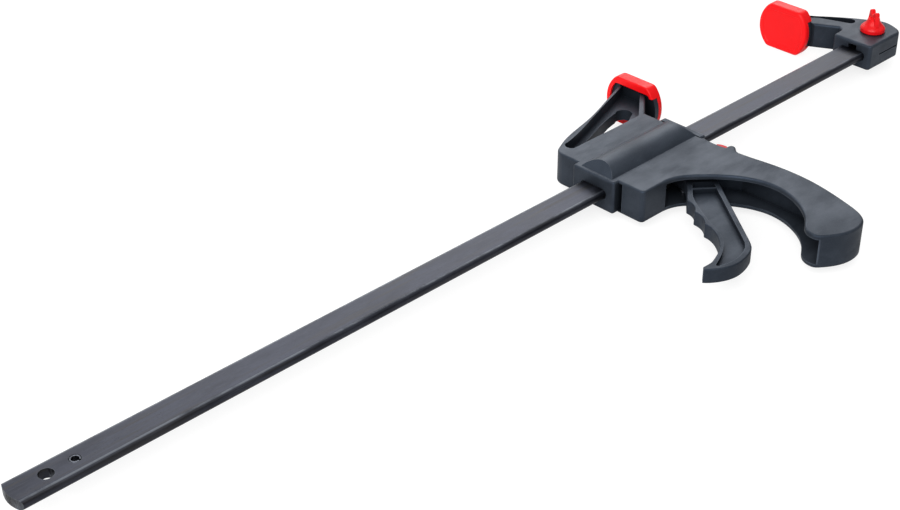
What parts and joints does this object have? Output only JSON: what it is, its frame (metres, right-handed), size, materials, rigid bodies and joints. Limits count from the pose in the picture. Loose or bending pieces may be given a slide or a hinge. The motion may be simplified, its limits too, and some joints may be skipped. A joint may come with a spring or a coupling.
{
  "type": "quick release bar clamp",
  "caption": "Trigger-driven bar clamp: pistol-grip sliding head with a release button, clip-on soft pads, and a removable far jaw held by a wing screw on a flat steel bar.",
  "frame": {"origin": "centre of the plain hole in the bar's free end, half way through the bar's thickness", "axes": "+X along the bar towards the fixed jaw, +Y towards the jaws, -Y towards the grip, +Z out of the side with the wing knob"},
  "size_m": [0.7233, 0.2274, 0.0417],
  "materials": {
    "bar_steel": "black oxide, satin",
    "body_nylon": "fine spark texture",
    "trigger_nylon": "fine spark texture",
    "pad_rubber": "smooth soft PVC",
    "red_plastic": "moulded, semi-gloss",
    "zinc_steel": "bright zinc plated",
    "spring_steel": "oiled spring steel",
    "hardened_plate": "hardened and blackened"
  },
  "bodies": {
    "bar_frame": {"bar": "bar_steel", "stop_roll_pin": "spring_steel", "fixed_jaw": "body_nylon", "fixed_pad": "pad_rubber", "lock_nut": "zinc_steel"},
    "sliding_head": {"sliding_body": "body_nylon", "rear_end_cap": "body_nylon", "end_cap_screws": "zinc_steel", "moving_pad": "pad_rubber", "trigger_pivot_pin": "zinc_steel", "drive_spring": "spring_steel", "brake_spring_seat": "zinc_steel", "brake_spring": "spring_steel"},
    "trigger": {"trigger": "trigger_nylon"},
    "drive_plates": {"drive_plate_front": "hardened_plate", "drive_plate_rear": "hardened_plate"},
    "brake": {"brake_lever": "hardened_plate", "release_button": "red_plastic"},
    "lock_washer": {"knob_washer": "zinc_steel"},
    "lock_knob": {"locking_knob": "red_plastic", "lock_screw": "zinc_steel"}
  },
  "joints": [
    {"name": "head_slide", "type": "slide", "parent": "bar_frame", "child": "sliding_head", "axis": [1, 0, 0], "range_m": [-0.3645, 0.1595]},
    {"name": "trigger_squeeze", "type": "hinge", "parent": "sliding_head", "child": "trigger", "pos_m": [0.434, -0.031, 0], "axis": [0, 0, 1], "range_deg": [0, 25], "stiffness_Nm_per_rad": 0.6, "springref_deg": -22.92},
    {"name": "plate_stroke", "type": "slide", "parent": "sliding_head", "child": "drive_plates", "axis": [-1, 0, 0], "range_m": [0, 0.0056], "deforming": ["drive_spring"]},
    {"name": "brake_release", "type": "hinge", "parent": "sliding_head", "child": "brake", "pos_m": [0.46405, 0.0124, 0], "axis": [0, 0, 1], "range_deg": [-4.5, 0], "stiffness_Nm_per_rad": 1.2, "springref_deg": 11.46, "deforming": ["brake_spring"]},
    {"name": "lock_lift", "type": "slide", "parent": "bar_frame", "child": "lock_washer", "axis": [0, 0, 1], "range_m": [0, 0.006]},
    {"name": "lock_turn", "type": "hinge", "parent": "lock_washer", "child": "lock_knob", "pos_m": [0.6822, 0, 0], "axis": [0, 0, 1], "range_deg": [0, 1730]}
  ],
  "couplings": [
    {"joint": "plate_stroke", "follows": "trigger_squeeze", "m_per_rad": 0.0126},
    {"joint": "lock_turn", "follows": "lock_lift", "rad_per_m": 5026.5}
  ]
}
